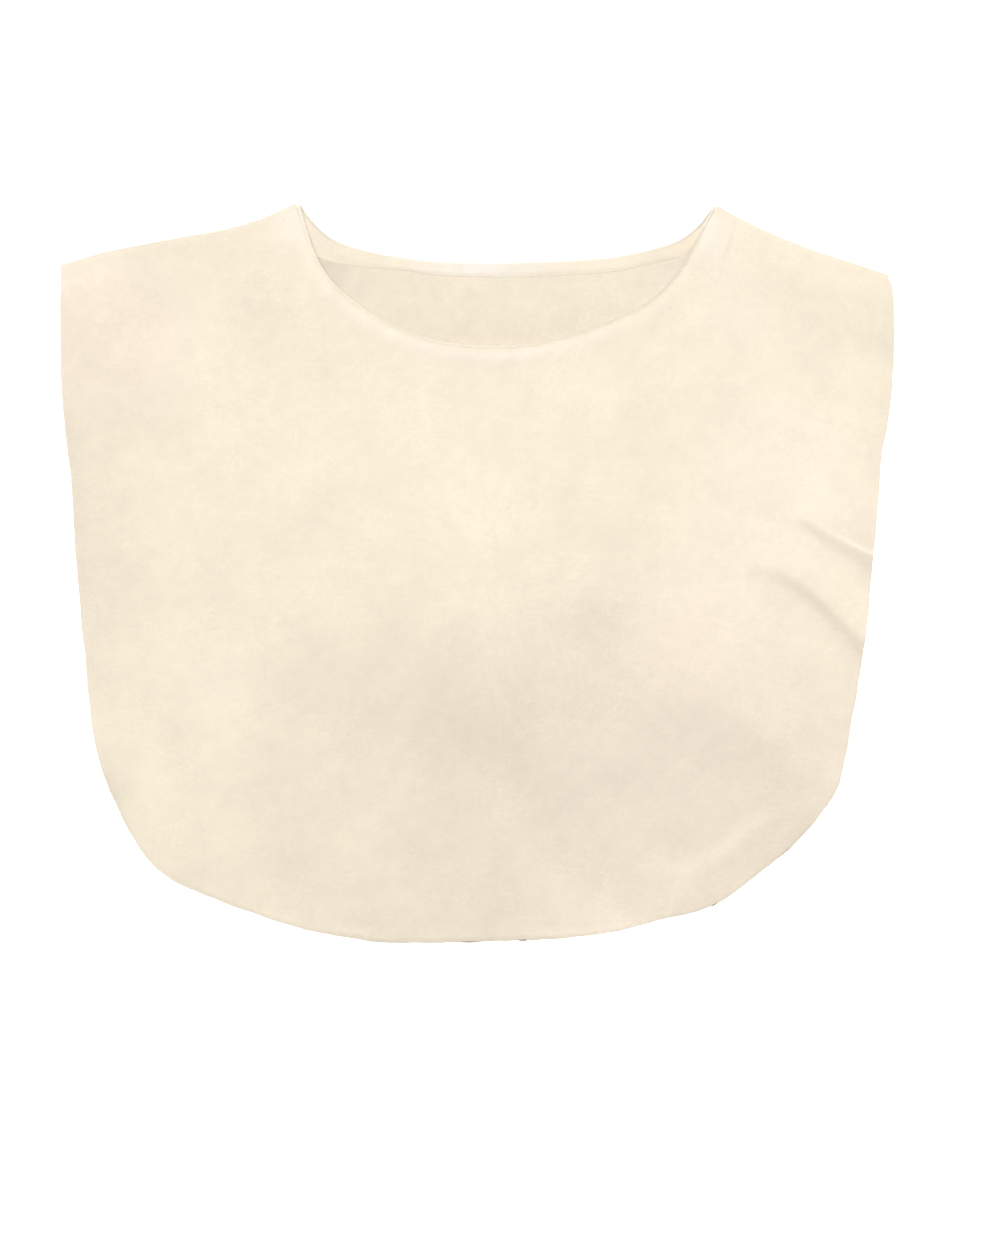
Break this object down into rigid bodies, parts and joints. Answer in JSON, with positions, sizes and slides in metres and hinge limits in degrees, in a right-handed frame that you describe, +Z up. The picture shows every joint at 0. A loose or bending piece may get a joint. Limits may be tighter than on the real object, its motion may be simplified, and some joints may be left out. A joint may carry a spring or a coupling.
{
  "type": "crew neck dickey",
  "caption": "Sleeveless jersey false top laid flat: wide crew neckline with a rolled facing, front and back panels joined at the shoulders, open sides and a rounded hem.",
  "frame": {"origin": "middle of the bounding box, on the surface that the garment lies on", "axes": "+X across the shoulders, towards the wearer's left; +Y from the hem to the neck; +Z up, out of the front panel"},
  "size_m": [0.3925, 0.3475, 0.0119],
  "materials": {
    "jersey": "soft brushed cotton jersey, cream, matt",
    "facing_jersey": "the same cream jersey cut as a narrow facing, matt"
  },
  "bodies": {
    "root": {"front_panel": "jersey", "back_panel": "jersey", "neck_facing": "facing_jersey"}
  },
  "joints": []
}
